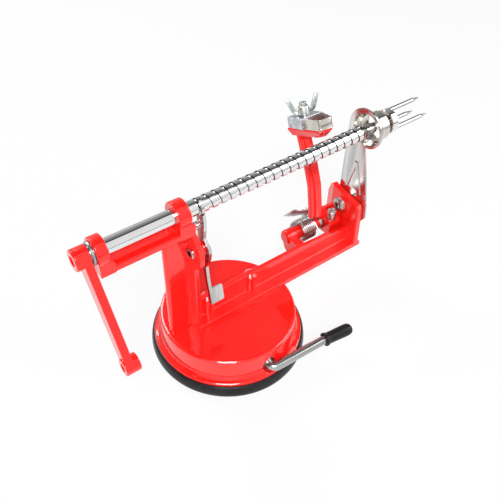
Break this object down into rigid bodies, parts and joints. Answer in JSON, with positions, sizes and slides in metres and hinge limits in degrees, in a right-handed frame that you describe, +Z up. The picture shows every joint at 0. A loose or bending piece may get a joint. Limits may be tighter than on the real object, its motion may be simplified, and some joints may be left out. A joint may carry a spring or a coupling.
{
  "type": "apple peeler",
  "caption": "Hand cranked apple peeler on a suction base: threaded feed shaft with fork, sprung arm with a blade, release lever, slicing plate with a coring ring.",
  "frame": {"origin": "centre of the round suction base on the table, on the pad's flat underside", "axes": "+X along the feed shaft from the crank to the fork, +Z up; the peeling arm stands on the +Y side, the suction lever and the hanging crank on the -Y side"},
  "size_m": [0.26, 0.1124, 0.1438],
  "materials": {
    "red_enamel": "glossy stoved enamel on a die casting",
    "black_rubber": "satin black rubber",
    "zinc_steel": "bright zinc plating",
    "natural_nylon": "natural white moulding",
    "bright_steel": "bright drawn steel",
    "chromed_steel": "chromed",
    "polished_steel": "polished sheet steel",
    "spring_wire": "bright spring wire",
    "zinc_alloy": "satin grey cast zinc",
    "blade_steel": "polished blade steel, slightly warm"
  },
  "bodies": {
    "frame": {"frame_casting": "red_enamel", "base_housing": "red_enamel", "base_screws": "zinc_steel", "suction_pad": "black_rubber", "slicer_plate": "polished_steel", "coring_ring": "blade_steel", "plate_screw": "zinc_steel", "plate_nut": "zinc_steel", "release_rivet": "polished_steel", "release_spring": "spring_wire", "pivot_pin": "zinc_steel", "arm_torsion_spring": "spring_wire"},
    "suction_cam": {"cam_barrel": "bright_steel", "suction_lever": "bright_steel", "lever_cap": "black_rubber"},
    "suction_stud": {"lift_stud": "natural_nylon", "pressure_plate": "zinc_steel"},
    "feed_carriage": {"thrust_washer": "zinc_steel"},
    "shaft": {"feed_shaft": "chromed_steel", "crank_arm": "red_enamel", "fork_hub": "chromed_steel", "fork_pins": "bright_steel"},
    "release": {"release_lever": "polished_steel"},
    "arm": {"peeling_arm": "red_enamel", "clamp_block": "zinc_alloy", "clamp_stud": "zinc_steel", "peeling_blade": "blade_steel"},
    "stop_screw": {"adjusting_screw": "zinc_steel"},
    "clamp_nut": {"wing_nut": "zinc_steel"},
    "lock": {"arm_lock": "polished_steel"}
  },
  "joints": [
    {"name": "suction_lever", "type": "hinge", "parent": "frame", "child": "suction_cam", "pos_m": [0, -0.046, 0.016], "axis": [0, -1, 0], "range_deg": [0, 180]},
    {"name": "suction_lift", "type": "slide", "parent": "frame", "child": "suction_stud", "axis": [0, 0, 1], "range_m": [0, 0.003]},
    {"name": "shaft_feed", "type": "slide", "parent": "frame", "child": "feed_carriage", "axis": [1, 0, 0], "range_m": [-0.11, 0]},
    {"name": "crank_turn", "type": "hinge", "parent": "feed_carriage", "child": "shaft", "pos_m": [0, 0.0037, 0.1241], "axis": [1, 0, 0], "range_deg": [-6240, 0]},
    {"name": "release_lever", "type": "hinge", "parent": "frame", "child": "release", "pos_m": [-0.018, -0.0011, 0.0952], "axis": [1, 0, 0], "range_deg": [0, 12], "stiffness_Nm_per_rad": 0.15},
    {"name": "arm_swing", "type": "hinge", "parent": "frame", "child": "arm", "pos_m": [0.095, 0.02, 0.0415], "axis": [1, 0, 0], "range_deg": [-35, 0], "stiffness_Nm_per_rad": 0.25, "springref_deg": 17.19, "deforming": ["arm_torsion_spring"]},
    {"name": "stop_screw", "type": "hinge", "parent": "arm", "child": "stop_screw", "pos_m": [0.1026, 0.0125, 0.05], "axis": [0, 0, 1], "range_deg": [0, 360]},
    {"name": "wing_nut", "type": "hinge", "parent": "arm", "child": "clamp_nut", "pos_m": [0.0872, 0.03499, 0.13037], "axis": [0, 0.342, 0.9397], "range_deg": [0, 360]},
    {"name": "arm_lock", "type": "hinge", "parent": "arm", "child": "lock", "pos_m": [0.0964, 0.02, 0.0415], "axis": [1, 0, 0], "range_deg": [-10, 0]}
  ],
  "couplings": [
    {"joint": "suction_lever", "follows": "suction_lift", "rad_per_m": 1047.2},
    {"joint": "crank_turn", "follows": "shaft_feed", "rad_per_m": 989.48}
  ]
}
